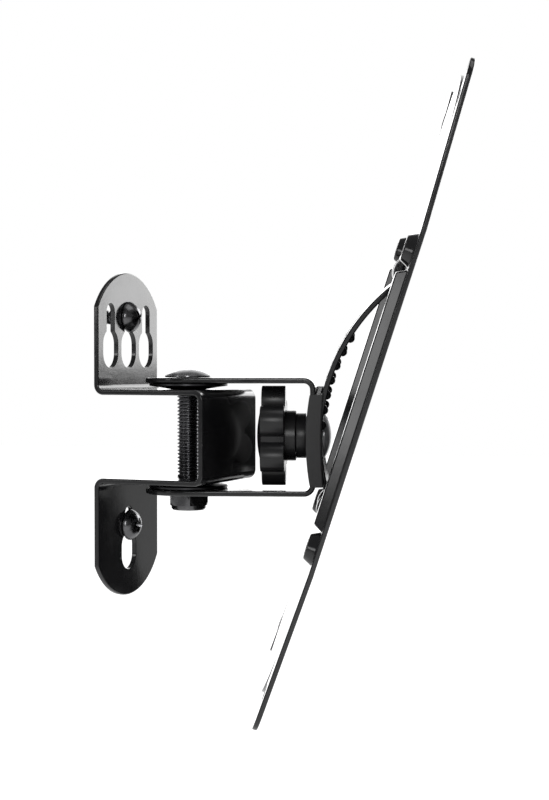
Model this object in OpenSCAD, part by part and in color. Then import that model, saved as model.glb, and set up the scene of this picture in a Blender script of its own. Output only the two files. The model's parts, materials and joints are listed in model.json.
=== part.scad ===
// Tilt and swivel wall mount for a small television
// Origin on the wall plane at the middle of the wall bracket, +Z up, television side towards -Y

/* [Wall bracket] */
// Width of the folded wall bracket
bracket_w = 44; // [40:1:60]
// Sheet thickness of the wall bracket
bracket_t = 1.8; // [1.4:0.1:2.4]
// Height over the outside of the two flanges
bracket_h = 32.4; // [30:0.5:44]
// Depth from the wall to the front of the web
bracket_d = 41.7; // [38:0.1:60]
// Inner radius of the bracket's folds
bracket_bend_r = 1.6; // [1:0.1:3]
// Height of the arched end of a tab above the middle
tab_reach = 57.4; // [54:0.2:70]
// Height at which the straight sides of a tab end
tab_shoulder = 45; // [43:0.2:52]
// Distance from the wall to the upright pivot
pivot_d = 25.6; // [25:0.1:26]

/* [Keyholes] */
// Width of the round part that passes over a screw head
key_big_w = 10.4; // [10:0.1:11.4]
// Length of the wide part of a keyhole
key_big_l = 13.5; // [12:0.1:14]
// Width of the narrow part of a keyhole
key_slot_w = 5.5; // [5.2:0.1:7]
// Length of the narrow part beyond the wide part
key_slot_l = 9; // [8:0.1:11]
// Height of the lower end of the upper keyholes
key_upper_z = 23.7; // [22:0.1:25]
// Depth of the lower end of the lower keyhole below the middle
key_lower_z = 48.2; // [46:0.1:50]
// Distance between the upper keyholes
key_pitch = 13; // [12.5:0.1:15]

/* [Wall screws] */
// Shank diameter of a wall screw
screw_d = 5; // [4:0.1:5.1]
// Length of a screw's shank under its head
screw_l = 11; // [9:0.5:60]
// Head diameter of a wall screw
screw_head_d = 11; // [10.6:0.1:12.5]
// Head height of a wall screw
screw_head_h = 4.4; // [3:0.1:5]
// Gap between the upper screw's shank and the end of its slot
upper_screw_drop = 1.7; // [0:0.1:4]
// Gap between the lower screw's shank and the end of its slot
lower_screw_drop = 3.9; // [0:0.1:4]
// Width of the cross recess arms
recess_w = 1.4; // [1:0.1:1.8]
// Span of the cross recess
recess_l = 6; // [4:0.1:7]

/* [Pivot] */
// Diameter of the upright pivot bolt
pivot_bolt_d = 8; // [6:0.5:9]
// Head diameter of the pivot bolt
pivot_head_d = 16.5; // [14:0.5:22]
// Head height of the pivot bolt
pivot_head_h = 2.9; // [2:0.1:5]
// Width across the flats of the pivot nut
pivot_nut_af = 13; // [13:0.5:17]
// Height of the hexagon of the pivot nut
pivot_nut_h = 4; // [3:0.1:6]
// Height of the round collar under the hexagon
pivot_collar_h = 1.7; // [1.2:0.1:3]
// Height of a dished friction washer
dish_h = 2.2; // [1.8:0.1:4]
// Outer diameter of a dished friction washer
dish_d = 27.5; // [20:0.5:30]
// Diameter of the small end of a dished friction washer
dish_neck_d = 11.6; // [11:0.2:14]
// Sheet thickness of a dished friction washer
dish_t = 0.9; // [0.6:0.1:1.2]

/* [Yoke] */
// Width of the yoke's strap
yoke_w = 30; // [26:1:36]
// Sheet thickness of the yoke
yoke_t = 1.9; // [1.5:0.1:2.2]
// Distance from the pivot to the front of the yoke's web
yoke_reach = 45; // [44:0.1:60]
// Inner radius of the yoke's folds
yoke_bend_r = 2.1; // [1.5:0.1:3]

/* [Clamp] */
// Diameter of the clamp bolt
clamp_bolt_d = 8; // [6:0.5:8]
// Head diameter of the clamp bolt
clamp_head_d = 15.7; // [13:0.1:16]
// Height of the clamp bolt's domed head
clamp_head_h = 2.3; // [1.8:0.1:4]
// Height of the shoe
shoe_h = 31.8; // [28:0.2:34]
// Height of the window in the shoe where the band passes close to the yoke
shoe_window = 17; // [16:0.2:20]
// Thickness of a shoe cheek beside the yoke
cheek_t = 1.3; // [1:0.1:2.5]
// How far a cheek reaches back past the front of the yoke
cheek_back = 3.3; // [2.6:0.1:4]
// How far the shoe's rails rise past the front of the yoke
rail_front = 2.7; // [2.5:0.1:3]
// Thickness of the pad behind the yoke
pad_t = 0.8; // [0.6:0.1:1.5]
// Diameter of the pad behind the yoke
pad_d = 20; // [17:0.5:24]
// Thickness of the steel thrust washer
washer_t = 0.8; // [0.6:0.1:1.6]
// Diameter of the steel thrust washer
washer_d = 14; // [12:0.5:16]
// Length of the thrust bush
bush_l = 3.3; // [2:0.1:5]
// Diameter of the thrust bush
bush_d = 15.8; // [13:0.1:17]

/* [Knob] */
// Length of the knob's round hub
hub_l = 3.7; // [3:0.1:6]
// Diameter of the knob's round hub
hub_d = 17.6; // [17:0.1:20]
// Thickness of the lobed grip
grip_l = 8.3; // [7:0.1:8.6]
// Diameter over the lobes
grip_d = 35; // [32:0.5:36]
// Number of lobes
lobe_count = 6; // [5:1:8]
// Diameter of one lobe
lobe_d = 10.6; // [9:0.1:11]
// Diameter of the grip's core between the lobes
core_d = 23.6; // [22:0.1:26]
// Height of the dome on the back of the grip
knob_dome_h = 1.7; // [1:0.1:2]
// Diameter of the dome on the back of the grip
knob_dome_d = 22; // [18:0.5:22]
// Outer diameter of the metal insert
insert_d = 13; // [11:0.1:14]
// Length of the metal insert
insert_l = 8; // [5:0.1:8.5]

/* [Tilt band] */
// Outer radius of the curved band
band_r = 67.5; // [62:0.1:68]
// Sheet thickness of the band
band_t = 1.9; // [1.5:0.1:2.2]
// Width of the band
band_w = 26; // [26:0.5:27]
// Width of the slot in the band
slot_w = 8.5; // [8.3:0.1:9]
// Tilt to either side of the middle, in degrees
tilt_limit = 18; // [10:1:18]
// Diameter of a pressed dimple
dimple_d = 3.2; // [3:0.1:3.8]
// Height of a pressed dimple
dimple_h = 1.3; // [0.5:0.1:1.4]
// Angle between the dimples of a row
dimple_step = 4.6; // [4:0.1:6]
// Number of dimples to either side of the middle one
dimple_side = 3; // [1:1:4]
// Distance between the two rows of dimples
dimple_rows = 21; // [20.5:0.1:21]
// Length of the flat feet that lie on the plate
foot_l = 10; // [8:0.5:12]
// Depth from the front of the curve to the back of the plate
band_depth = 13.5; // [12.5:0.1:16]

/* [Television plate] */
// Sheet thickness of the plate
plate_t = 1.7; // [1.2:0.1:2.4]
// Height of the straight middle part of the plate
plate_mid_h = 168; // [150:1:178]
// Distance from an outer hole to the side of the plate
side_margin = 9; // [8:0.5:12]
// Distance from an outer hole to the inner side of its ear
ear_margin = 5; // [4.5:0.5:7]
// Distance from an outer hole to the end of its ear
end_margin = 12; // [9:0.5:16]
// Angle by which the two ends of the plate lean back towards the wall
ear_lean = 1.9; // [0:0.1:3]
// Radius of the arched end between the ears
arch_r = 53; // [50:0.5:54]
// Side of the small square hole pattern
small_pattern = 75; // [75:1:76]
// Side of the large square hole pattern
large_pattern = 100; // [98:1:102]
// Height of the tall hole pattern
tall_pattern = 200; // [196:1:204]
// Diameter of the holes for the television's screws
tv_hole_d = 5.5; // [4.5:0.1:6]
// Height of the pressed ribs and bosses
press_h = 3.2; // [2.4:0.1:4]
// Width of a pressed rib at its foot
rib_w = 10; // [9:0.1:11]
// Half of the length of a pressed rib
rib_half_l = 43.6; // [38:0.2:44]
// Diameter of a pressed boss at its foot
boss_d = 11.4; // [10.5:0.1:12]
// Slope width of the pressed sides
press_side = 1.6; // [1:0.1:2]
// Shank diameter of a band rivet
rivet_d = 4; // [3:0.1:4.5]
// Head diameter of a band rivet
rivet_head_d = 7; // [6:0.1:8]
// Head height of a band rivet
rivet_head_h = 1.3; // [0.8:0.1:1.8]
// Distance between the two rivets of a foot
rivet_gap = 15; // [12:0.5:17]

/* [Rest pose] */
// Swivel of the yoke from straight out, in degrees
rest_swivel = 20.5; // [-25:0.1:25]
// Roll of the plate about the clamp bolt, in degrees
rest_level = 3.9; // [-5:0.1:5]
// Tilt of the plate, top away from the wall, in degrees
rest_tilt = 17.9; // [-18:0.1:18]

/* [Hidden] */
$fn = 64;
// Running clearance of a shaft in its hole, on the radius
run_gap = 0.1;
// Clearance between flat faces that slide on each other
face_gap = 0.1;
// Clearance between curved faces that slide on each other
curve_gap = 0.3;
// Clearance of a fixed shank in its hole, on the radius
fixed_gap = 0.05;
// Overlap that makes a cut pass cleanly through a face
cut = 1;
// Depth to which a dome sinks into what carries it
sink = 0.2;
// Flat edge around a dome
edge = 0.2;
// Width of the plastic locking ring in the pivot nut
lock_ring_w = 1.2;
// Largest roll of the shoe about the clamp bolt, in degrees
level_limit = 5;
// Angle by which the band's curve runs on before it is trimmed
curve_spare = 3;

// Centre of a keyhole's narrow end above its lower end
slot_end_z = key_big_l + key_slot_l - key_slot_w / 2;

// Upright pivot stack
flange_z = bracket_h / 2;
yoke_in_z = flange_z + dish_h;
yoke_out_z = yoke_in_z + yoke_t;
pivot_hole_r = pivot_bolt_d / 2 + run_gap;
pivot_nut_z = -yoke_out_z - face_gap;
pivot_end_z = pivot_nut_z - pivot_nut_h - pivot_collar_h;

// Clamp stack along the yoke, measured from the pivot
web_back_x = yoke_reach - yoke_t;
shoe_back_x = yoke_reach + face_gap;
band_x = yoke_reach + curve_gap;
centre_x = band_x + band_r;
band_in_r = band_r - band_t;
head_seat_r = band_in_r - curve_gap / 2;
pad_x = web_back_x - face_gap - pad_t;
washer_x = pad_x - face_gap - washer_t;
bush_x = washer_x - bush_l;
hub_x = bush_x - hub_l - face_gap;
grip_x = hub_x - grip_l;
insert_x = hub_x + hub_l - insert_l;
clamp_end_x = insert_x + cut;
clamp_hole_r = clamp_bolt_d / 2 + run_gap;
neck_w = min(clamp_bolt_d, slot_w - 2 * run_gap);
head_neck_x = centre_x - head_seat_r;

// Shoe around the yoke's web, with room for the level joint
cheek_in = (yoke_w / 2 + face_gap + sin(level_limit) * shoe_h / 2) / cos(level_limit);
shoe_w = 2 * (cheek_in + cheek_t);
bulge = 1.4;
bulge_r = (pow(shoe_h / 2, 2) + pow(bulge, 2)) / (2 * bulge);
hollow = 0.75;
hollow_r = (pow(shoe_h / 2, 2) + pow(hollow, 2)) / (2 * hollow);

// Curved band, trimmed halfway into its feet, and the feet on the plate
plate_d = band_r - band_depth;
trim_d = plate_d + band_t / 2;
band_out_z = sqrt(pow(band_r, 2) - pow(plate_d + band_t, 2));
foot_z = sqrt(pow(band_in_r, 2) - pow(trim_d, 2)) - 2 * sink;
foot_w = band_w - edge;
band_a = atan(band_out_z / plate_d) + curve_spare;
slot_a = tilt_limit + asin((neck_w / 2 + run_gap) / band_in_r);
rivet_z = band_out_z + foot_l / 2;

// Television plate
plate_w = large_pattern + 2 * side_margin;
plate_h = tall_pattern + 2 * end_margin;
ear_w = side_margin + ear_margin;
arch_z = plate_h / 2 - arch_r;
lean_z = (large_pattern + boss_d) / 2 + press_side;
lean_end_z = plate_h / 2 + cut;
lean_drop = tan(ear_lean) * (lean_end_z - lean_z);
TAB_SIDES = [-1, 1];

// Places: along the yoke +X leads away from the wall and +Y across it
module at_pivot() {
    translate([0, -pivot_d, 0]) children();
}

module at_yoke() {
    at_pivot() rotate([0, 0, rest_swivel - 90]) children();
}

module at_shoe() {
    at_yoke() rotate([rest_level, 0, 0]) children();
}

module at_plate() {
    at_shoe() translate([centre_x, 0, 0]) rotate([0, rest_tilt, 0]) children();
}

// Cylinder along +X from x0 to x1
module rod_x(x0, x1, d) {
    translate([x0, 0, 0]) rotate([0, 90, 0]) cylinder(h = x1 - x0, d = d);
}

// Quarter fold of a sheet, axis along +Z, filling the first quadrant
module fold(r, t, w) {
    rotate_extrude(angle = 90) translate([r, -w / 2]) square([t, w]);
}

// Outline of a keyhole with its lower end at the origin
module keyhole() {
    r = key_big_w / 2;
    translate([0, r]) circle(r);
    translate([-r, r]) square([key_big_w, key_big_l - 2 * r]);
    translate([0, key_big_l - r]) circle(r);
    translate([-key_slot_w / 2, r]) square([key_slot_w, slot_end_z - r]);
    translate([0, slot_end_z]) circle(key_slot_w / 2);
}

// Outline of an arched tab with its straight foot at z = 0
module tab_outline() {
    rise = tab_reach - tab_shoulder;
    arch = (pow(bracket_w / 2, 2) + pow(rise, 2)) / (2 * rise);
    foot = flange_z + bracket_bend_r;
    translate([-bracket_w / 2, foot]) square([bracket_w, tab_shoulder - foot]);
    intersection() {
        translate([0, tab_reach - arch]) circle(arch, $fn = 128);
        translate([-bracket_w / 2, tab_shoulder - cut]) square([bracket_w, tab_reach]);
    }
}

// Sheet standing on the wall plane, drawn in X and Z
module wall_sheet() {
    rotate([90, 0, 0]) linear_extrude(bracket_t) children();
}

module bracket_half() {
    outer = bracket_bend_r + bracket_t;
    flange_l = bracket_d - bracket_t - bracket_bend_r - outer;
    translate([-bracket_w / 2, -bracket_d + outer, flange_z - bracket_t])
        cube([bracket_w, flange_l, bracket_t]);
    translate([0, -bracket_t - bracket_bend_r, flange_z + bracket_bend_r])
        rotate([0, 90, 0]) fold(bracket_bend_r, bracket_t, bracket_w);
    translate([0, -bracket_d + outer, flange_z - outer])
        rotate([0, -90, 0]) rotate([0, 0, -90]) fold(bracket_bend_r, bracket_t, bracket_w);
}

module wall_bracket() {
    outer = bracket_bend_r + bracket_t;
    color("#141416") difference() {
        union() {
            bracket_half();
            mirror([0, 0, 1]) bracket_half();
            translate([-bracket_w / 2, -bracket_d, -flange_z + outer])
                cube([bracket_w, bracket_t, bracket_h - 2 * outer]);
            wall_sheet() difference() {
                tab_outline();
                for (i = [-1:1]) translate([i * key_pitch, key_upper_z]) keyhole();
            }
            wall_sheet() difference() {
                mirror([0, 1]) tab_outline();
                translate([0, -key_lower_z]) keyhole();
            }
        }
        at_pivot() cylinder(h = bracket_h + 2 * cut, r = pivot_hole_r, center = true);
    }
}

// Domed cross-recess screw, head resting on the bracket's front face
module wall_screw(z) {
    dome_r = (pow(screw_head_d / 2, 2) + pow(screw_head_h, 2)) / (2 * screw_head_h);
    tip_l = screw_d / 2;
    color("#2a2a2c") translate([0, -bracket_t - fixed_gap, z]) rotate([-90, 0, 0]) {
        cylinder(h = screw_l - tip_l, d = screw_d);
        translate([0, 0, screw_l - tip_l]) cylinder(h = tip_l, d1 = screw_d, d2 = screw_d * 0.4);
        difference() {
            intersection() {
                translate([0, 0, dome_r - screw_head_h]) sphere(dome_r);
                translate([0, 0, -screw_head_h]) cylinder(h = screw_head_h, d = screw_head_d);
            }
            for (a = [0, 90]) rotate([0, 0, a])
                translate([-recess_l / 2, -recess_w / 2, -screw_head_h - cut])
                    cube([recess_l, recess_w, screw_head_h / 2 + cut]);
        }
    }
}

module wall_screw_upper() {
    wall_screw(key_upper_z + slot_end_z - upper_screw_drop);
}

module wall_screw_lower() {
    wall_screw(-key_lower_z + slot_end_z - lower_screw_drop);
}

// Low dome that rises from z = 0 and sinks a little into what carries it
module dome(d, h) {
    dome_r = (pow(d / 2, 2) + pow(h, 2)) / (2 * h);
    intersection() {
        translate([0, 0, h - dome_r]) sphere(dome_r, $fn = 96);
        translate([0, 0, -sink]) cylinder(h = h + sink + cut, d = d + 2 * cut);
    }
}

module pivot_bolt() {
    rim_h = 0.6;
    head_z = yoke_out_z + face_gap;
    color("#303033") at_pivot() {
        translate([0, 0, pivot_end_z]) cylinder(h = head_z - pivot_end_z, d = pivot_bolt_d);
        translate([0, 0, head_z]) cylinder(h = rim_h, d = pivot_head_d);
        translate([0, 0, head_z + rim_h]) dome(pivot_head_d - 2 * edge, pivot_head_h - rim_h);
    }
}

module pivot_nut() {
    bore_r = pivot_bolt_d / 2 + fixed_gap;
    ring_r = pivot_bolt_d / 2 + lock_ring_w + fixed_gap;
    collar_d = pivot_nut_af - 0.8;
    color("#303033") at_pivot() translate([0, 0, pivot_nut_z]) mirror([0, 0, 1]) difference() {
        union() {
            intersection() {
                cylinder(h = pivot_nut_h, d = pivot_nut_af / cos(30), $fn = 6);
                cylinder(h = pivot_nut_h, d1 = pivot_nut_af * 1.16, d2 = pivot_nut_af * 1.04);
            }
            cylinder(h = pivot_nut_h + pivot_collar_h, d1 = pivot_nut_af, d2 = collar_d);
        }
        translate([0, 0, -cut]) cylinder(h = pivot_nut_h + cut, r = bore_r);
        translate([0, 0, pivot_nut_h]) cylinder(h = pivot_collar_h + cut, r = ring_r);
    }
}

module pivot_nut_ring() {
    color("#1d2430") at_pivot() translate([0, 0, pivot_end_z + 0.3]) difference() {
        cylinder(h = pivot_collar_h - 0.4, r = pivot_bolt_d / 2 + lock_ring_w);
        translate([0, 0, -cut]) cylinder(h = pivot_collar_h + 2 * cut, r = pivot_bolt_d / 2 + fixed_gap);
    }
}

// Dished washer on the flange at z = flange_z, wide rim towards the yoke
module friction_washer() {
    rise = dish_h - face_gap;
    lip_w = 2;
    neck_w = 0.4;
    r0 = pivot_bolt_d / 2 + fixed_gap;
    r1 = dish_neck_d / 2;
    r2 = dish_d / 2;
    rotate_extrude($fn = 96) polygon([
        [r0, 0], [r1, 0], [r2, rise - dish_t], [r2, rise], [r2 - lip_w, rise], [r1 - neck_w, dish_t], [r0, dish_t]
    ]);
}

module upper_friction_washer() {
    color("#2b2b2e") at_pivot() translate([0, 0, flange_z]) friction_washer();
}

module lower_friction_washer() {
    color("#2b2b2e") at_pivot() mirror([0, 0, 1]) translate([0, 0, flange_z]) friction_washer();
}

module yoke_half() {
    outer = yoke_bend_r + yoke_t;
    translate([0, 0, yoke_in_z]) cylinder(h = yoke_t, d = yoke_w, $fn = 96);
    translate([0, -yoke_w / 2, yoke_in_z]) cube([yoke_reach - outer, yoke_w, yoke_t]);
    translate([yoke_reach - outer, 0, yoke_out_z - outer])
        rotate([90, 0, 0]) fold(yoke_bend_r, yoke_t, yoke_w);
}

module yoke() {
    outer = yoke_bend_r + yoke_t;
    color("#141416") at_yoke() difference() {
        union() {
            yoke_half();
            mirror([0, 0, 1]) yoke_half();
            translate([web_back_x, -yoke_w / 2, -yoke_out_z + outer])
                cube([yoke_t, yoke_w, 2 * (yoke_out_z - outer)]);
        }
        cylinder(h = 2 * (yoke_out_z + cut), r = pivot_hole_r, center = true);
        rod_x(web_back_x - cut, yoke_reach + cut, 2 * clamp_hole_r);
    }
}

module rear_pad() {
    color("#26272a") at_yoke() difference() {
        rod_x(pad_x, pad_x + pad_t, pad_d);
        rod_x(pad_x - cut, pad_x + pad_t + cut, 2 * clamp_hole_r);
    }
}

// Side view of the shoe: bulging towards the wall, hollow towards the television
module shoe_outline() {
    back = yoke_reach - cheek_back;
    front = yoke_reach + rail_front;
    difference() {
        intersection() {
            translate([back, -shoe_h / 2]) square([front - back, shoe_h]);
            translate([back + bulge_r, 0]) circle(bulge_r, $fn = 256);
        }
        translate([front - hollow + hollow_r, 0]) circle(hollow_r, $fn = 256);
    }
}

module clamp_shoe() {
    rail_in = band_w / 2 + face_gap + 0.15;
    color("#3b3c40") at_shoe() difference() {
        translate([0, shoe_w / 2, 0]) rotate([90, 0, 0]) linear_extrude(shoe_w) shoe_outline();
        translate([0, -cheek_in, -shoe_h]) cube([shoe_back_x, 2 * cheek_in, 2 * shoe_h]);
        translate([centre_x, 0, 0]) rotate([90, 0, 0])
            cylinder(h = 2 * rail_in, r = band_r + curve_gap, center = true, $fn = 256);
        translate([shoe_back_x - cut, -rail_in, -shoe_window / 2])
            cube([rail_front + 2 * cut, 2 * rail_in, shoe_window]);
    }
}

module clamp_bolt() {
    rim_h = 0.4;
    color("#c9ccd0") at_shoe() {
        rod_x(clamp_end_x, shoe_back_x, clamp_bolt_d);
        translate([shoe_back_x, -neck_w / 2, -neck_w / 2])
            cube([head_neck_x - shoe_back_x + rim_h, neck_w, neck_w]);
        intersection() {
            translate([head_neck_x, 0, 0]) rotate([0, 90, 0]) {
                cylinder(h = rim_h, d = clamp_head_d);
                translate([0, 0, rim_h]) dome(clamp_head_d - 2 * edge, clamp_head_h);
            }
            translate([centre_x, 0, 0]) rotate([90, 0, 0])
                cylinder(h = clamp_head_d + cut, r = head_seat_r, center = true, $fn = 256);
        }
    }
}

// Ring along the clamp bolt that slides on its shank
module sliding_ring(x, l, d) {
    difference() {
        rod_x(x, x + l, d);
        rod_x(x - cut, x + l + cut, 2 * clamp_hole_r);
    }
}

module thrust_washer() {
    color("#b9bcc0") at_shoe() sliding_ring(washer_x, washer_t, washer_d);
}

module thrust_bush() {
    color("#1c1d20") at_shoe() sliding_ring(bush_x, bush_l, bush_d);
}

module knob_grip() {
    lobe_r = grip_d / 2 - lobe_d / 2;
    color("#1c1d20") at_shoe() difference() {
        union() {
            rod_x(hub_x, hub_x + hub_l, hub_d);
            rod_x(grip_x, hub_x, core_d);
            for (i = [0:lobe_count - 1]) rotate([(i + 0.5) * 360 / lobe_count + 90, 0, 0])
                translate([0, 0, -lobe_r]) rod_x(grip_x, hub_x, lobe_d);
            translate([grip_x, 0, 0]) rotate([0, -90, 0]) dome(knob_dome_d, knob_dome_h);
        }
        rod_x(insert_x, hub_x + hub_l + cut, insert_d + 2 * fixed_gap);
    }
}

module knob_insert() {
    color("#b08d4f") at_shoe() difference() {
        rod_x(insert_x + fixed_gap, insert_x + insert_l, insert_d);
        rod_x(insert_x + 2 * fixed_gap, insert_x + insert_l + cut, 2 * clamp_hole_r);
    }
}

// Part of a ring about the tilt axis, from inner to outer radius, centred on -X
module sector(r_in, r_out, w, half_angle) {
    rotate([90, 0, 0]) rotate([0, 0, 180 - half_angle])
        rotate_extrude(angle = 2 * half_angle, $fn = 256)
            translate([r_in, -w / 2]) square([r_out - r_in, w]);
}

module band_foot() {
    translate([-plate_d - band_t, -foot_w / 2, foot_z])
        cube([band_t, foot_w, band_out_z + foot_l - foot_z]);
}

// Curved sheet of the band, cut off inside its feet
module band_sheet() {
    intersection() {
        sector(band_in_r, band_r, band_w, band_a);
        translate([-trim_d - band_r, -band_w, -band_r]) cube([band_r, 2 * band_w, 2 * band_r]);
    }
}

// Pressed dimple that rises towards the television from the surface at x
module dimple_form(x) {
    root = 2 * sink;
    translate([x - root, 0, 0]) rotate([0, 90, 0])
        cylinder(h = dimple_h + root, d1 = dimple_d, d2 = dimple_d / 4);
}

module each_dimple() {
    for (side = TAB_SIDES) for (i = [-dimple_side:dimple_side])
        rotate([0, i * dimple_step, 0]) translate([0, side * dimple_rows / 2, 0]) children();
}

module tilt_band() {
    color("#18181a") at_plate() difference() {
        union() {
            band_sheet();
            band_foot();
            mirror([0, 0, 1]) band_foot();
            each_dimple() dimple_form(-band_in_r);
        }
        sector(band_in_r - cut, band_r + cut, slot_w, slot_a);
        each_dimple() dimple_form(-band_r);
        for (z = [-rivet_z, rivet_z]) for (side = TAB_SIDES)
            translate([0, side * rivet_gap / 2, z])
                rod_x(-plate_d - band_t - cut, -plate_d + cut, rivet_d + 2 * fixed_gap);
    }
}

// Sheet lying on the plate plane, drawn in Y and Z
module plate_sheet(x, t) {
    translate([x, 0, 0]) rotate([90, 0, 90]) linear_extrude(t) children();
}

module plate_outline() {
    tip_r = ear_w / 2;
    translate([-plate_w / 2, -plate_mid_h / 2]) square([plate_w, plate_mid_h]);
    for (side = TAB_SIDES) {
        translate([0, side * arch_z]) circle(arch_r, $fn = 128);
        translate([side * (plate_w / 2 - tip_r) - tip_r, -plate_h / 2 + tip_r])
            square([ear_w, plate_h - ear_w]);
        for (end = TAB_SIDES) translate([side * (plate_w / 2 - tip_r), end * (plate_h / 2 - tip_r)])
            circle(tip_r);
    }
}

// Sheet of the plate seen from its side, flat in the middle and leaning back at both ends
module leaning_sheet(front_x) {
    back_x = front_x - plate_t;
    rotate([90, 0, 0]) linear_extrude(plate_w + 2 * cut, center = true) polygon([
        [front_x - lean_drop, -lean_end_z], [front_x, -lean_z], [front_x, lean_z], [front_x - lean_drop, lean_end_z],
        [back_x - lean_drop, lean_end_z], [back_x, lean_z], [back_x, -lean_z], [back_x - lean_drop, -lean_end_z]
    ]);
}

// Long raised rib with sloping sides and ends, rising towards -X from x = 0
module rib_form(w, half_l, h, side) {
    intersection() {
        translate([0, 0, -half_l]) linear_extrude(2 * half_l) polygon([
            [cut, w / 2], [0, w / 2], [-h, w / 2 - side], [-h, -w / 2 + side], [0, -w / 2], [cut, -w / 2]
        ]);
        translate([0, w / 2, 0]) rotate([90, 0, 0]) linear_extrude(w) polygon([
            [cut, half_l], [0, half_l], [-h, half_l - side], [-h, -half_l + side], [0, -half_l], [cut, -half_l]
        ]);
    }
}

// Round raised boss, rising towards -X from x = 0
module boss_form(d, h, side) {
    rotate([0, -90, 0]) cylinder(h = h, d1 = d, d2 = d - 2 * side);
    rod_x(0, cut, d);
}

module pressed_forms(shrink) {
    for (side = TAB_SIDES) translate([shrink, side * large_pattern / 2, 0]) {
        rib_form(rib_w - shrink, rib_half_l - shrink / 2, press_h, press_side);
        for (end = TAB_SIDES) translate([0, 0, end * large_pattern / 2])
            boss_form(boss_d - shrink, press_h, press_side);
    }
}

module tv_holes(side_y, side_z) {
    for (y = TAB_SIDES) for (z = TAB_SIDES)
        translate([0, y * side_y / 2, z * side_z / 2])
            rod_x(-plate_d - press_h - cut, -plate_d + plate_t + cut, tv_hole_d);
}

module tv_plate() {
    color("#141416") at_plate() difference() {
        union() {
            intersection() {
                leaning_sheet(-plate_d + plate_t);
                plate_sheet(-plate_d - lean_drop - cut, plate_t + lean_drop + 2 * cut) plate_outline();
            }
            intersection() {
                translate([-plate_d, 0, 0]) pressed_forms(0);
                plate_sheet(-plate_d - press_h, press_h + plate_t / 2) plate_outline();
            }
        }
        translate([-plate_d, 0, 0]) pressed_forms(plate_t);
        tv_holes(small_pattern, small_pattern);
        tv_holes(large_pattern, large_pattern);
        tv_holes(large_pattern, tall_pattern);
        for (z = [-rivet_z, rivet_z]) for (side = TAB_SIDES)
            translate([0, side * rivet_gap / 2, z])
                rod_x(-plate_d - cut, -plate_d + plate_t + cut, rivet_d + 2 * fixed_gap);
    }
}

// Rivet through a band foot and the plate, domed on both sides
module band_rivet(side, end) {
    rim_h = 0.3;
    foot_face = -plate_d - band_t;
    plate_face = -plate_d + plate_t;
    color("#1b1b1d") at_plate() translate([0, side * rivet_gap / 2, end * rivet_z]) {
        rod_x(foot_face, plate_face, rivet_d);
        rod_x(foot_face - rim_h, foot_face, rivet_head_d);
        rod_x(plate_face, plate_face + rim_h, rivet_head_d);
        translate([foot_face - rim_h, 0, 0]) rotate([0, -90, 0])
            dome(rivet_head_d - 2 * edge, rivet_head_h - rim_h);
        translate([plate_face + rim_h, 0, 0]) rotate([0, 90, 0])
            dome(rivet_head_d - 2 * edge, rivet_head_h - rim_h);
    }
}

module band_rivet_upper_left() {
    band_rivet(-1, 1);
}

module band_rivet_upper_right() {
    band_rivet(1, 1);
}

module band_rivet_lower_left() {
    band_rivet(-1, -1);
}

module band_rivet_lower_right() {
    band_rivet(1, -1);
}

wall_bracket();
wall_screw_upper();
wall_screw_lower();
pivot_bolt();
pivot_nut();
pivot_nut_ring();
upper_friction_washer();
lower_friction_washer();
yoke();
rear_pad();
clamp_shoe();
clamp_bolt();
thrust_washer();
thrust_bush();
knob_grip();
knob_insert();
tilt_band();
tv_plate();
band_rivet_upper_left();
band_rivet_upper_right();
band_rivet_lower_left();
band_rivet_lower_right();
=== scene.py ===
"""Looks of the tilt and swivel wall mount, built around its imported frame. Metres, +Z up."""
import json
import math

import bmesh
import bpy
from mathutils import Matrix, Vector


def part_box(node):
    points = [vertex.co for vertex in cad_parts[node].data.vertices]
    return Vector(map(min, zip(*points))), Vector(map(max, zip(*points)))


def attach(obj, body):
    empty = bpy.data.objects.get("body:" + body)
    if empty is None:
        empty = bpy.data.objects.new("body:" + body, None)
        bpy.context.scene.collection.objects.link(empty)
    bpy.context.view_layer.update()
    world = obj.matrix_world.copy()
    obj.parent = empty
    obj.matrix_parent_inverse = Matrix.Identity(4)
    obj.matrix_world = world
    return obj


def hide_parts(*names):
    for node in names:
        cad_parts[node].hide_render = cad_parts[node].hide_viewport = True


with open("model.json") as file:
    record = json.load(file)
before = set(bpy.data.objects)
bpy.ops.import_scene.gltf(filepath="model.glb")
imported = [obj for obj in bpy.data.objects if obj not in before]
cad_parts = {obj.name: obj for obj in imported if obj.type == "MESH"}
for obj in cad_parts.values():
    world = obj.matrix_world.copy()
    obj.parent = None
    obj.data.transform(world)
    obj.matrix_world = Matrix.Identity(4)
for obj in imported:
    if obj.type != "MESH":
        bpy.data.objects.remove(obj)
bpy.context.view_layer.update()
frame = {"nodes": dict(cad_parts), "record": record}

MM = 0.001
JOINTS = {j["name"]: j for j in frame["record"]["behaviour"]["joints"]}
MOUNTS = {m["name"]: m for m in frame["record"]["mounts"]}

# Places and axes, all taken from the frame
PIVOT = Vector(JOINTS["swivel"]["pos_m"])
CLAMP_POINT = Vector(JOINTS["level"]["pos_m"])
FORWARD = Vector(JOINTS["level"]["axis"]).normalized()
ACROSS = Vector(JOINTS["tilt"]["axis"]).normalized()
CENTRE = Vector(JOINTS["tilt"]["pos_m"])
PLATE_OUT = Vector(MOUNTS["tv_holes_75"]["axis"]).normalized()


def axes_matrix(origin, x_axis, y_axis):
    """Frame with the given origin and axes, the third axis completing it."""
    z_axis = x_axis.cross(y_axis).normalized()
    return Matrix.Translation(origin) @ Matrix((x_axis, y_axis, z_axis)).transposed().to_4x4()


QUARTER = math.radians(90)
# Shoe frame: +X along the clamp bolt away from the wall, +Y across, origin on the pivot's axis
SHOE = axes_matrix(PIVOT, FORWARD, ACROSS)
# Upright frame on the pivot's axis
UPRIGHT = Matrix.Translation(PIVOT)
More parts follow.
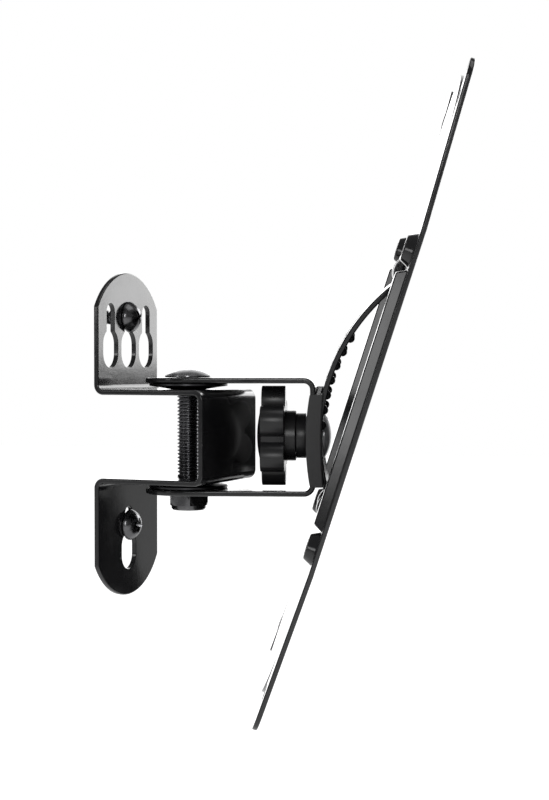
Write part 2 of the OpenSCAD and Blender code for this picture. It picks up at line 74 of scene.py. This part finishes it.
# Frame whose +Z points along the clamp bolt, away from the wall
CLAMP = SHOE @ Matrix.Rotation(QUARTER, 4, "Y")
# Plate frame: +X towards the television, +Y across, origin on the tilt axis
PLATE = axes_matrix(CENTRE, PLATE_OUT, ACROSS)


def points_in(node, matrix):
    """A node's points in a frame."""
    inverse = matrix.inverted()
    return [inverse @ v.co for v in frame["nodes"][node].data.vertices]


def span(node, matrix):
    """Lowest and highest point of a node along +Z of a frame, in millimetres."""
    heights = [p.z / MM for p in points_in(node, matrix)]
    return min(heights), max(heights)


# Materials

def material(name, colour, roughness, metallic=0.0, **more):
    """Principled material; constants go straight on its sockets."""
    mat = bpy.data.materials.new(name)
    mat.use_nodes = True
    shader = mat.node_tree.nodes["Principled BSDF"]
    shader.inputs["Base Color"].default_value = (*colour, 1)
    shader.inputs["Roughness"].default_value = roughness
    shader.inputs["Metallic"].default_value = metallic
    for socket, value in more.items():
        shader.inputs[socket.replace("_", " ")].default_value = value
    return mat, mat.node_tree, shader


def add_node(tree, kind, inputs=None, **settings):
    node = tree.nodes.new(kind)
    for key, value in settings.items():
        setattr(node, key, value)
    for key, value in (inputs or {}).items():
        node.inputs[key].default_value = value
    return node


def noise(tree, scale, detail, rough=0.55):
    """Noise in the object's own metres; scale is in cells per metre."""
    coords = add_node(tree, "ShaderNodeTexCoord")
    tex = add_node(tree, "ShaderNodeTexNoise", {"Scale": scale, "Detail": detail, "Roughness": rough})
    tree.links.new(coords.outputs["Object"], tex.inputs["Vector"])
    return tex.outputs["Fac"]


def remap(tree, value, low, high, to_low=0, to_high=1):
    node = add_node(tree, "ShaderNodeMapRange", {1: low, 2: high, 3: to_low, 4: to_high})
    tree.links.new(value, node.inputs["Value"])
    return node.outputs["Result"]


def mix_colour(tree, factor, first, second):
    """Colour mix; first and second are colours or outputs."""
    node = add_node(tree, "ShaderNodeMix", data_type="RGBA")
    tree.links.new(factor, node.inputs["Factor"])
    for socket, value in ((node.inputs["A"], first), (node.inputs["B"], second)):
        if isinstance(value, tuple):
            socket.default_value = (*value, 1)
        else:
            tree.links.new(value, socket)
    return node.outputs["Result"]


def multiply(tree, a, b):
    node = add_node(tree, "ShaderNodeMath", operation="MULTIPLY")
    tree.links.new(a, node.inputs[0])
    if isinstance(b, (int, float)):
        node.inputs[1].default_value = b
    else:
        tree.links.new(b, node.inputs[1])
    return node.outputs[0]


def bump(tree, shader, height, depth, strength):
    node = add_node(tree, "ShaderNodeBump", {"Strength": strength, "Distance": depth})
    tree.links.new(height, node.inputs["Height"])
    tree.links.new(node.outputs["Normal"], shader.inputs["Normal"])


def black_paint(name):
    """Gloss black powder coat: fine orange peel, dust-fine specks and bare steel where edges chipped."""
    mat, tree, shader = material(name, (0.010, 0.010, 0.011), 0.2, IOR=1.65)
    cloud = noise(tree, scale=55, detail=4)
    peel = noise(tree, scale=700, detail=2)
    grain = noise(tree, scale=2600, detail=2)
    bump(tree, shader, peel, depth=0.00002, strength=0.35)
    tree.links.new(remap(tree, cloud, 0.35, 0.65, 0.1, 0.17), shader.inputs["Roughness"])
    tone = mix_colour(tree, remap(tree, cloud, 0.3, 0.7), (0.008, 0.008, 0.009), (0.014, 0.014, 0.015))
    # Chips: specks of noise, allowed only where the surface turns sharply
    geometry = add_node(tree, "ShaderNodeNewGeometry")
    corner = remap(tree, geometry.outputs["Pointiness"], 0.53, 0.60)
    speck = remap(tree, noise(tree, scale=420, detail=3), 0.66, 0.70)
    chip = multiply(tree, corner, speck)
    dust = remap(tree, grain, 0.76, 0.80, 0, 0.12)
    tone = mix_colour(tree, dust, tone, (0.25, 0.25, 0.25))
    tone = mix_colour(tree, chip, tone, (0.55, 0.55, 0.56))
    tree.links.new(tone, shader.inputs["Base Color"])
    return mat


def plated(name, dark, light, rough_low, rough_high, metallic=1.0):
    """Plated steel with cloudy tone and fine scratches."""
    mat, tree, shader = material(name, light, rough_low, metallic)
    cloud = noise(tree, scale=160, detail=4)
    scratch = noise(tree, scale=900, detail=3, rough=0.6)
    tone = mix_colour(tree, remap(tree, cloud, 0.3, 0.7), dark, light)
    tree.links.new(tone, shader.inputs["Base Color"])
    tree.links.new(remap(tree, scratch, 0.3, 0.7, rough_low, rough_high), shader.inputs["Roughness"])
    bump(tree, shader, scratch, depth=0.00002, strength=0.35)
    return mat


def moulded(name, dark, light, rough_low, rough_high, grain, depth):
    """Moulded plastic with a fine grain."""
    mat, tree, shader = material(name, light, rough_low, Specular_IOR_Level=0.5)
    cloud = noise(tree, scale=120, detail=4)
    tone = mix_colour(tree, remap(tree, cloud, 0.3, 0.7), dark, light)
    tree.links.new(tone, shader.inputs["Base Color"])
    tree.links.new(remap(tree, cloud, 0.3, 0.7, rough_low, rough_high), shader.inputs["Roughness"])
    bump(tree, shader, noise(tree, scale=grain, detail=2), depth, strength=0.6)
    return mat


PAINT = black_paint("black_paint")
DARK_STEEL = plated("dark_steel", (0.1, 0.1, 0.105), (0.2, 0.2, 0.205), 0.16, 0.3)
THREAD_STEEL = plated("thread_steel", (0.16, 0.16, 0.17), (0.28, 0.28, 0.29), 0.2, 0.32)
WASHER_STEEL = plated("washer_steel", (0.06, 0.06, 0.063), (0.1, 0.1, 0.105), 0.28, 0.4)
# Lighter copy of the thread's plated steel for the pivot bolt's head: a painted highlight from the light
# above
HEAD_STEEL_PAINTED_HIGHLIGHT = plated("head_steel_painted_highlight", (0.42, 0.42, 0.43), (0.56, 0.56, 0.57), 0.2, 0.3)
# Bright plated steel made partly diffuse: its light colour also stands in for the reflection that the
# clamp bolt's dome would show, so it is partly painted reflection
BRIGHT_STEEL_PAINTED_REFLECTION = plated("bright_steel", (0.7, 0.71, 0.73), (0.82, 0.83, 0.85), 0.1, 0.22, metallic=0.6)
BRASS = plated("insert_brass", (0.5, 0.34, 0.13), (0.62, 0.45, 0.2), 0.25, 0.38)
KNOB_PLASTIC = moulded(
    "knob_plastic", (0.012, 0.012, 0.013), (0.02, 0.02, 0.021), 0.26, 0.34, grain=1500, depth=0.00002
)
SHOE_PLASTIC = moulded(
    "shoe_plastic", (0.034, 0.034, 0.035), (0.046, 0.046, 0.047), 0.5, 0.62, grain=1800, depth=0.00004
)
RING_PLASTIC = moulded(
    "ring_plastic", (0.02, 0.025, 0.05), (0.03, 0.036, 0.07), 0.4, 0.5, grain=1500, depth=0.00003
)


# Meshes; lengths of profiles and rings are in millimetres

SHARP = math.radians(32)
# For shapes with flats or cuts
CUT_SHARP = math.radians(30)


def new_piece(name, bm, body, mat, node, smooth):
    """Turns a bmesh into a piece that rides on a body and stands for a CAD node."""
    mesh = bpy.data.meshes.new(name)
    bm.to_mesh(mesh)
    bm.free()
    piece = bpy.data.objects.new(name, mesh)
    bpy.context.collection.objects.link(piece)
    piece.data.materials.append(mat)
    mesh.shade_smooth()
    mesh.set_sharp_from_angle(angle=smooth)
    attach(piece, body)
    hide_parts(node)
    return piece


def body_of(node):
    for body, nodes in frame["record"]["behaviour"]["bodies"].items():
        if node in nodes:
            return body
    raise KeyError(node)


def round_edges(bm, width, segments, chosen):
    """Rounds the sharp edges that a test picks."""
    edges = [e for e in bm.edges if e.is_manifold and e.calc_face_angle() > SHARP and chosen(e)]
    bmesh.ops.bevel(
        bm, geom=edges, offset=width * MM, offset_type="OFFSET", segments=segments, profile=0.5,
        affect="EDGES", clamp_overlap=False
    )


def softened(node, mat, slot, *passes):
    """Copy of a CAD node with its sharp edges rounded, as paint and stamping leave them.

    Each pass is a width in millimetres, a number of steps and a test of an edge."""
    same_point = 1e-6
    same_face = math.radians(0.6)
    bm = bmesh.new()
    bm.from_mesh(frame["nodes"][node].data)
    bmesh.ops.remove_doubles(bm, verts=bm.verts, dist=same_point)
    bmesh.ops.dissolve_limit(
        bm, angle_limit=same_face, verts=bm.verts, edges=bm.edges, use_dissolve_boundaries=False
    )
    for width, segments, chosen in passes:
        round_edges(bm, width, segments, chosen)
    piece = new_piece(node + "_skin", bm, body_of(node), mat, node, SHARP)
    flat = piece.modifiers.new("normals", "WEIGHTED_NORMAL")
    flat.keep_sharp = True
    flat.weight = 100
    return piece


def circle_ring(bm, matrix, height, radius_at, count):
    """Ring of points about +Z of a frame; radius_at gives the radius at an angle."""
    ring = []
    for i in range(count):
        a = 2 * math.pi * i / count
        r = radius_at(a)
        ring.append(bm.verts.new(matrix @ (Vector((r * math.cos(a), r * math.sin(a), height)) * MM)))
    return ring


def corner_ring(bm, matrix, height, half_x, half_y):
    """Rectangle of points about +Z of a frame."""
    corners = [(-half_x, -half_y), (half_x, -half_y), (half_x, half_y), (-half_x, half_y)]
    return [bm.verts.new(matrix @ (Vector((x, y, height)) * MM)) for x, y in corners]


def ring_faces(bm, rings, close_ends=True):
    """Joins equal rings of points with quads, and closes the ends."""
    count = len(rings[0])
    for a, b in zip(rings, rings[1:]):
        for i in range(count):
            j = (i + 1) % count
            bm.faces.new((a[i], a[j], b[j], b[i]))
    if close_ends:
        bm.faces.new(list(reversed(rings[0])))
        bm.faces.new(rings[-1])


def lathe(profile, matrix, count=96, closed=False):
    """Revolves (radius, height) points about +Z of a frame. A closed profile makes a ring."""
    bm = bmesh.new()
    rings = [circle_ring(bm, matrix, height, lambda a: radius, count) for radius, height in profile]
    if closed:
        rings.append(rings[0])
    ring_faces(bm, rings, close_ends=not closed)
    bmesh.ops.recalc_face_normals(bm, faces=bm.faces)
    return bm


def arc(centre, radius, start, end, steps=4):
    """Points of an arc in the profile plane, angles in degrees."""
    out = []
    for i in range(steps + 1):
        a = math.radians(start + (end - start) * i / steps)
        out.append((centre[0] + radius * math.cos(a), centre[1] + radius * math.sin(a)))
    return out


def dome_points(radius, base, rise, steps=14, tip=0.02):
    """Points of a low dome from its rim to just short of its tip."""
    curve = (radius ** 2 + rise ** 2) / (2 * rise)
    out = []
    for i in range(steps + 1):
        x = radius + (tip - radius) * i / steps
        out.append((x, base + math.sqrt(curve ** 2 - x ** 2) - (curve - rise)))
    return out


def head_profile(shank_r, seat, head_r, head_h, corner, rim):
    """Profile of a dome head with a rounded corner at its seat and a rim under its dome."""
    profile = [(shank_r, seat)] + arc((head_r - corner, seat + corner), corner, -90, 0)
    return profile + dome_points(head_r, seat + rim, head_h - rim)


def threaded_rod(matrix, major, pitch, low, high, count=40):
    """Rod whose radius follows a helical thread; ends taper off over half a turn."""
    bm = bmesh.new()
    depth = 0.61 * pitch
    end_share = 0.6
    per_turn = 10
    steps = max(4, round((high - low) / pitch * per_turn))
    rings = []
    for k in range(steps + 1):
        z = low + (high - low) * k / steps
        fade = min(1.0, (z - low) / pitch * 2, (high - z) / pitch * 2)

        def radius_at(a):
            phase = (z / pitch - a / (2 * math.pi)) % 1.0
            ridge = min(1.0, max(0.0, 1.25 - 2.5 * abs(phase - 0.5)))
            return major / 2 - depth * (1 - ridge) * fade - (1 - fade) * depth * end_share

        rings.append(circle_ring(bm, matrix, z, radius_at, count))
    ring_faces(bm, rings)
    bmesh.ops.recalc_face_normals(bm, faces=bm.faces)
    return bm


def merge(bm, other):
    """Adds one bmesh to another."""
    mesh = bpy.data.meshes.new("part")
    other.to_mesh(mesh)
    other.free()
    bm.from_mesh(mesh)
    bpy.data.meshes.remove(mesh)


def cut_with(piece, cutter_bm):
    """Subtracts a bmesh from a piece and applies the result."""
    mesh = bpy.data.meshes.new("cutter")
    cutter_bm.to_mesh(mesh)
    cutter_bm.free()
    cutter = bpy.data.objects.new("cutter", mesh)
    bpy.context.collection.objects.link(cutter)
    cutter.matrix_world = piece.matrix_world
    boolean = piece.modifiers.new("cut", "BOOLEAN")
    boolean.object = cutter
    boolean.operation = "DIFFERENCE"
    boolean.solver = "EXACT"
    boolean.use_self = True
    graph = bpy.context.evaluated_depsgraph_get()
    result = bpy.data.meshes.new_from_object(piece.evaluated_get(graph))
    piece.modifiers.remove(boolean)
    piece.data = result
    bpy.data.objects.remove(cutter)
    piece.data.shade_smooth()
    piece.data.set_sharp_from_angle(angle=CUT_SHARP)


# Fasteners

M8, M8_PITCH = 8, 1.25
# A dome head starts inside the thread's crests, and the thread stops just short of its seat
UNDER_HEAD_R = 3.9
SHY = 0.001
FASTENER_SMOOTH = math.radians(50)
TURNED_SMOOTH = math.radians(40)


def pivot_bolt():
    head_d, head_h = 16.5, 2.9
    low, high = span("pivot_bolt", UPRIGHT)
    seat = high - head_h
    bm = lathe(head_profile(UNDER_HEAD_R, seat, head_d / 2, head_h, corner=0.3, rim=0.6), UPRIGHT)
    merge(bm, threaded_rod(UPRIGHT, M8, M8_PITCH, low, seat - SHY))
    piece = new_piece(
        "pivot_bolt_threaded", bm, "wall", THREAD_STEEL, "pivot_bolt", FASTENER_SMOOTH
    )
    # The head's faces take the lighter copy of the steel, a painted highlight
    piece.data.materials.append(HEAD_STEEL_PAINTED_HIGHLIGHT)
    for face in piece.data.polygons:
        face.material_index = int(face.center.z > seat * MM)


def wall_screw(node, turn):
    """Dome head with a tapered cross recess, turned by an angle, over a coarse-threaded shank."""
    head_d, head_h, shank_d, shank_l, pitch = 11, 4.4, 5, 11, 1.6
    recess_span, recess_foot, recess_w, foot_w, recess_floor = 6.2, 2.8, 1.24, 0.744, 1.4
    low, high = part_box(node)
    # Frame whose +Z leads out of the wall, from the wall plane
    matrix = Matrix.Translation(((low[0] + high[0]) / 2, 0, (low[2] + high[2]) / 2))
    matrix = matrix @ Matrix.Rotation(QUARTER, 4, "X")
    # The head rests just clear of the bracket's sheet
    seat = 1.85
    top = seat + head_h
    bm = lathe(head_profile(2.4, seat, head_d / 2, head_h, corner=0.35, rim=0.7), matrix, 64)
    merge(bm, threaded_rod(matrix, shank_d, pitch, seat - shank_l, seat - SHY, 32))
    piece = new_piece(node + "_dressed", bm, "wall", DARK_STEEL, node, FASTENER_SMOOTH)
    cutter = bmesh.new()
    for quarter in range(2):
        arm = matrix @ Matrix.Rotation(math.radians(turn) + quarter * QUARTER, 4, "Z")
        upper = corner_ring(cutter, arm, top + 0.5, recess_span / 2, recess_w / 2)
        lower = corner_ring(cutter, arm, seat + recess_floor, recess_foot / 2, foot_w / 2)
        ring_faces(cutter, [lower, upper])
    bmesh.ops.recalc_face_normals(cutter, faces=cutter.faces)
    cut_with(piece, cutter)


def friction_washer(node, sign):
    """Bowl-shaped washer, rim towards the yoke."""
    flip = UPRIGHT @ Matrix.Scale(sign, 4, (0, 0, 1))
    low, high = span(node, flip)
    rim, neck, bore, sheet, lip, corner = 13.75, 5.8, 4.06, 0.9, 1.6, 0.15
    # The bowl's outside as (radius, rise above the flange), swelling towards the rim
    bowl = [(7.6, 0.25), (10.2, 0.75)]
    profile = [(bore, low), (neck, low)] + [(r, low + rise) for r, rise in bowl]
    profile += [(12.4, low + 1.05), (rim - corner, low + 1.2)]
    profile += [(rim, low + 1.35), (rim, high - corner), (rim - corner, high), (rim - lip, high)]
    profile += [(r, low + rise + sheet) for r, rise in reversed(bowl)]
    profile += [(neck, low + sheet), (bore, low + sheet)]
    bm = lathe(profile, flip, closed=True)
    new_piece(node + "_pressed", bm, "wall", WASHER_STEEL, node, TURNED_SMOOTH)


def pivot_nut():
    """Hexagon with turned corners over a round locking collar."""
    flats_r, hexagon, steps = 6.5, 4.0, 96
    corners_r = flats_r / math.cos(math.pi / 6)
    top = span("pivot_nut", UPRIGHT)[1]
    bm = bmesh.new()
    rings = []
    # Down the nut: how far its corners reach at each drop, then the collar's radii
    for drop, share in [(0, 0.94), (0.35, 1.0), (hexagon - 1.2, 1.0), (hexagon, 0.90)]:

        def hexagon_r(a):
            side = (a + math.pi / 6) % (math.pi / 3) - math.pi / 6
            return min(flats_r / math.cos(side), corners_r * share)

        rings.append(circle_ring(bm, UPRIGHT, top - drop, hexagon_r, steps))
    for radius, drop in [(6.1, 0), (6.0, 1.1), (5.6, 1.6), (5.3, 1.7), (5.25, 0.6)]:
        rings.append(circle_ring(bm, UPRIGHT, top - hexagon - drop, lambda a: radius, steps))
    ring_faces(bm, rings)
    bmesh.ops.recalc_face_normals(bm, faces=bm.faces)
    new_piece("pivot_nut_turned", bm, "wall", DARK_STEEL, "pivot_nut", CUT_SHARP)


def clamp_bolt():
    """Domed head that shows on the television side, square neck and threaded shank."""
    head_d, neck_half, shoe_gap = 15.7, 4.0, 0.1
    low, tip = span("clamp_bolt", CLAMP)
    # The head's seat is where the node's widest points start along the bolt
    wide = [p.z / MM for p in points_in("clamp_bolt", CLAMP) if p.xy.length > 6.5 * MM]
    seat = min(wide)
    neck_low = (CLAMP.inverted() @ CLAMP_POINT).z / MM + shoe_gap
    bm = lathe(head_profile(UNDER_HEAD_R, seat, head_d / 2, tip - seat, corner=0.25, rim=0.45), CLAMP)
    neck = [corner_ring(bm, CLAMP, z, neck_half, neck_half) for z in (neck_low, seat + 0.05)]
    ring_faces(bm, neck)
    merge(bm, threaded_rod(CLAMP, M8, M8_PITCH, low, neck_low))
    # The dome's bright steel is partly painted reflection
    new_piece("clamp_bolt_domed", bm, "shoe", BRIGHT_STEEL_PAINTED_REFLECTION, "clamp_bolt", TURNED_SMOOTH)


LOBES, LOBE_R, LOBE_REACH, CORE_R = 6, 5.3, 17.5, 12.1


def star_radius(a, inset):
    """Radius of the knob's star at an angle, its concave corners blended."""
    sharp = 4.0
    step = 2 * math.pi / LOBES
    side = (a + step / 2) % step - step / 2
    centre = LOBE_REACH - LOBE_R
    core = CORE_R - inset
    inside = (LOBE_R - inset) ** 2 - (centre * math.sin(side)) ** 2
    if inside <= 0:
        return core
    lobe = centre * math.cos(side) + math.sqrt(inside)
    return math.log(math.exp(lobe * sharp) + math.exp(core * sharp)) / sharp


def knob_grip():
    """Star grip with rolled edges, domed back, round hub and the insert's pocket."""
    dome_h, dome_r, grip_l, hub_r, pocket_r = 1.7, 11, 8.3, 8.8, 6.55
    edge, edge_steps, count = 0.35, 4, 240
    back, hub_end = span("knob_grip", CLAMP)
    grip_low = back + dome_h
    grip_high = grip_low + grip_l
    bm = bmesh.new()
    rings = []

    def add_ring(z, radius_at):
        rings.append(circle_ring(bm, CLAMP, z, radius_at, count))

    for r, z in reversed(dome_points(dome_r, 0, dome_h, 10)):
        add_ring(grip_low - z, lambda a: r)
    for k in range(edge_steps + 1):
        t = QUARTER * k / edge_steps
        add_ring(grip_low + edge * (1 - math.cos(t)), lambda a: star_radius(a, edge * (1 - math.sin(t))))
    for k in range(edge_steps + 1):
        t = QUARTER * k / edge_steps
        add_ring(grip_high - edge * (1 - math.sin(t)), lambda a: star_radius(a, edge * (1 - math.cos(t))))
    hub = [(hub_r, grip_high), (hub_r, hub_end - 0.3), (hub_r - 0.3, hub_end)]
    for r, z in hub + [(pocket_r, hub_end), (pocket_r, hub_end - 0.4)]:
        add_ring(z, lambda a: r)
    ring_faces(bm, rings)
    bmesh.ops.recalc_face_normals(bm, faces=bm.faces)
    new_piece("knob_grip_moulded", bm, "knob", KNOB_PLASTIC, "knob_grip", TURNED_SMOOTH)


def plain_ring(node, mat, edge):
    """Turned ring on the clamp bolt with rounded edges."""
    low, high = span(node, CLAMP)
    radial = [p.xy.length / MM for p in points_in(node, CLAMP)]
    outer, inner = max(radial), min(radial)
    profile = [(inner, low)] + arc((outer - edge, low + edge), edge, -90, 0)
    profile += arc((outer - edge, high - edge), edge, 0, 90) + [(inner, high)]
    bm = lathe(profile, CLAMP, closed=True)
    new_piece(node + "_turned", bm, body_of(node), mat, node, TURNED_SMOOTH)


# Folded and pressed steel; the tests below pick the edges that are rounded

BRACKET_HALF_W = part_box("wall_bracket")[1][0]
NEAR = 0.3 * MM
TAB_DEPTH = 2.5 * MM


def middle(edge):
    return (edge.verts[0].co + edge.verts[1].co) / 2


def convex(edge):
    return edge.is_convex


def concave(edge):
    return not edge.is_convex


def off_axis(edge, matrix):
    """Whether an edge lies away from a bolt's hole about +Z of a frame."""
    hole_reach = 5.5 * MM
    return (matrix.inverted() @ middle(edge)).xy.length > hole_reach


def off_bolts(edge):
    return off_axis(edge, UPRIGHT) and off_axis(edge, CLAMP)


def in_keyhole(point):
    """Whether a point of a tab lies within the reach of its keyholes."""
    if point.z < 0:
        return abs(point.x) < 5.4 * MM and -48.5 * MM < point.z < -25 * MM
    return abs(point.x) < 18.5 * MM and point.z < 46.6 * MM


def strip_edge(edge):
    """Edges of the bracket's outline, away from its holes and keyholes."""
    point = middle(edge)
    on_side = abs(abs(point.x) - BRACKET_HALF_W) < NEAR
    on_arch = abs(point.z) > 44.5 * MM and point.y > -TAB_DEPTH and not in_keyhole(point)
    return on_side or on_arch


def keyhole_edge(edge):
    point = middle(edge)
    return point.y > -TAB_DEPTH and abs(point.z) > 17 * MM and in_keyhole(point)


def tilt_band():
    """Curved band with its side edges rounded and a smooth bump over every dimple."""
    dimple_r, dimple_h, dimple_side, dimple_step, row_y, root = 1.62, 1.3, 3, 4.6, 10.5, 0.2
    inverse = PLATE.inverted()
    points = points_in("tilt_band", PLATE)
    half_w = max(p.y for p in points)
    inner_r = min(p.xz.length for p in points if abs(p.y) > half_w - NEAR and abs(p.z) < 20 * MM) / MM

    def side_edge(edge):
        return abs(abs((inverse @ middle(edge)).y) - half_w) < NEAR

    band = softened("tilt_band", PAINT, "black_steel", (0.5, 4, side_edge))
    bm = bmesh.new()
    bm.from_mesh(band.data)
    bump_profile = [(dimple_r, -root)] + dome_points(dimple_r, 0, dimple_h, 8)
    for side in (-1, 1):
        for k in range(-dimple_side, dimple_side + 1):
            turned = PLATE @ Matrix.Rotation(math.radians(dimple_step * k), 4, "Y")
            spot = turned @ Matrix.Translation(Vector((-inner_r, side * row_y, 0)) * MM)
            merge(bm, lathe(bump_profile, spot @ Matrix.Rotation(QUARTER, 4, "Y"), 28))
    bm.to_mesh(band.data)
    bm.free()
    band.data.shade_smooth()
    band.data.set_sharp_from_angle(angle=SHARP)


pivot_bolt()
pivot_nut()
wall_screw("wall_screw_upper", turn=28)
wall_screw("wall_screw_lower", turn=-14)
friction_washer("upper_friction_washer", 1)
friction_washer("lower_friction_washer", -1)
clamp_bolt()
knob_grip()
plain_ring("thrust_bush", KNOB_PLASTIC, edge=0.25)
# Same bright steel, partly painted reflection
plain_ring("thrust_washer", BRIGHT_STEEL_PAINTED_REFLECTION, edge=0.15)
softened("wall_bracket", PAINT, "black_steel", (0.5, 4, strip_edge), (0.2, 2, keyhole_edge))
softened("yoke", PAINT, "black_steel", (0.55, 4, off_bolts))
tilt_band()
softened("tv_plate", PAINT, "black_steel", (0.5, 4, convex), (0.25, 2, concave))
softened("clamp_shoe", SHOE_PLASTIC, "shoe_plastic", (0.5, 3, convex))

# Nodes that keep their CAD shape and only get a look
CAD_LOOKS = {
    "pivot_nut_ring": RING_PLASTIC, "rear_pad": SHOE_PLASTIC, "knob_insert": BRASS,
    "band_rivet_upper_left": PAINT, "band_rivet_upper_right": PAINT,
    "band_rivet_lower_left": PAINT, "band_rivet_lower_right": PAINT,
}
for node_name, look in CAD_LOOKS.items():
    looks = frame["nodes"][node_name].data.materials
    if not looks:
        looks.append(look)
    for index in range(len(looks)):
        looks[index] = look


# Camera at the photograph's viewpoint, for a frame of 549 by 800

FRAME_H = 800
FOCAL_PX = 1610
YAW, PITCH = math.radians(23.5), math.radians(-1.245)
LOOK = Vector((math.cos(YAW) * math.cos(PITCH), math.sin(YAW) * math.cos(PITCH), math.sin(PITCH)))
camera_data = bpy.data.cameras.new("camera")
camera_data.sensor_width = 36
camera_data.lens = FOCAL_PX / FRAME_H * camera_data.sensor_width
camera_data.clip_start = 0.01
camera_data.clip_end = 50
camera = bpy.data.objects.new("camera", camera_data)
bpy.context.collection.objects.link(camera)
camera.location = (-0.5065, -0.27875, 0.0247)
camera.rotation_mode = "QUATERNION"
camera.rotation_quaternion = LOOK.to_track_quat("-Z", "Y")
bpy.context.scene.camera = camera


# Studio: a white backdrop that the gloss shows too, a pale floor and six soft boxes

ROOM = 0.12
DIFFUSE_LIGHT = 0.55
# The gloss sees the backdrop white within the first angle from the camera's look, dim past the second
BACKDROP_EDGE, BACKDROP_END = math.radians(30), math.radians(46)


def studio_world():
    """White room: the camera sees plain white, gloss sees the backdrop fall off into a dimmer room."""
    world = bpy.data.worlds.new("studio")
    bpy.context.scene.world = world
    world.use_nodes = True
    tree = world.node_tree
    background = tree.nodes["Background"]
    coords = add_node(tree, "ShaderNodeTexCoord")
    toward = add_node(tree, "ShaderNodeVectorMath", operation="DOT_PRODUCT")
    tree.links.new(coords.outputs["Generated"], toward.inputs[0])
    toward.inputs[1].default_value = LOOK
    lit = remap(tree, toward.outputs["Value"], math.cos(BACKDROP_END), math.cos(BACKDROP_EDGE), ROOM, 1.0)
    path = add_node(tree, "ShaderNodeLightPath")
    glossy = add_node(tree, "ShaderNodeMix", {2: DIFFUSE_LIGHT}, data_type="FLOAT")
    tree.links.new(path.outputs["Is Glossy Ray"], glossy.inputs[0])
    tree.links.new(lit, glossy.inputs[3])
    clear = add_node(tree, "ShaderNodeMath", operation="MAXIMUM")
    tree.links.new(path.outputs["Is Camera Ray"], clear.inputs[0])
    tree.links.new(path.outputs["Is Transmission Ray"], clear.inputs[1])
    strength = add_node(tree, "ShaderNodeMix", {3: 1.0}, data_type="FLOAT")
    tree.links.new(clear.outputs[0], strength.inputs[0])
    tree.links.new(glossy.outputs[0], strength.inputs[2])
    background.inputs["Color"].default_value = (1, 1, 1, 1)
    tree.links.new(strength.outputs[0], background.inputs["Strength"])


def studio_floor():
    half, level = 6.0, -0.36
    corners = [(-half, -half, level), (half, -half, level), (half, half, level), (-half, half, level)]
    mesh = bpy.data.meshes.new("floor")
    mesh.from_pydata(corners, [], [(0, 1, 2, 3)])
    floor = bpy.data.objects.new("floor", mesh)
    bpy.context.collection.objects.link(floor)
    mat, tree, shader = material("floor", (0.9, 0.9, 0.9), 0.9)
    output = tree.nodes["Material Output"]
    # Glow that only the camera sees lifts the lit floor to white and leaves the shadow on it
    glow_strength = 0.7
    glow = add_node(tree, "ShaderNodeEmission", {"Color": (1, 1, 1, 1)})
    both = add_node(tree, "ShaderNodeAddShader")
    path = add_node(tree, "ShaderNodeLightPath")
    tree.links.new(multiply(tree, path.outputs["Is Camera Ray"], glow_strength), glow.inputs["Strength"])
    tree.links.new(shader.outputs[0], both.inputs[0])
    tree.links.new(glow.outputs[0], both.inputs[1])
    tree.links.new(both.outputs[0], output.inputs["Surface"])
    floor.data.materials.append(mat)


def lamp(name, azimuth, elevation, distance, size, radiance):
    """Soft box in a direction from the pivot, in degrees; radiance is what a mirror would show of it."""
    data = bpy.data.lights.new(name, "AREA")
    data.shape = "RECTANGLE"
    data.size, data.size_y = size
    data.energy = radiance * math.pi * size[0] * size[1]
    obj = bpy.data.objects.new(name, data)
    bpy.context.collection.objects.link(obj)
    a, e = math.radians(azimuth), math.radians(elevation)
    way = Vector((math.cos(a) * math.cos(e), math.sin(a) * math.cos(e), math.sin(e)))
    obj.location = PIVOT + way * distance
    obj.rotation_mode = "QUATERNION"
    obj.rotation_quaternion = (-way).to_track_quat("-Z", "Y")
    obj.visible_camera = False


studio_world()
studio_floor()
lamp("front_box", azimuth=-160, elevation=13, distance=1.7, size=(0.3, 0.55), radiance=7.0)
lamp("left_box", azimuth=150, elevation=10, distance=1.4, size=(0.3, 0.3), radiance=2.6)
lamp("side_box", azimuth=-17, elevation=16.5, distance=0.7, size=(0.34, 0.37), radiance=4.2)
lamp("back_box", azimuth=24, elevation=0, distance=0.9, size=(0.6, 0.62), radiance=1.5)
lamp("fill_box", azimuth=-95, elevation=12, distance=1.3, size=(0.4, 0.4), radiance=2.0)
lamp("top_box", azimuth=-90, elevation=70, distance=1.3, size=(0.9, 0.9), radiance=1.1)

bpy.context.scene.view_settings.view_transform = "Standard"
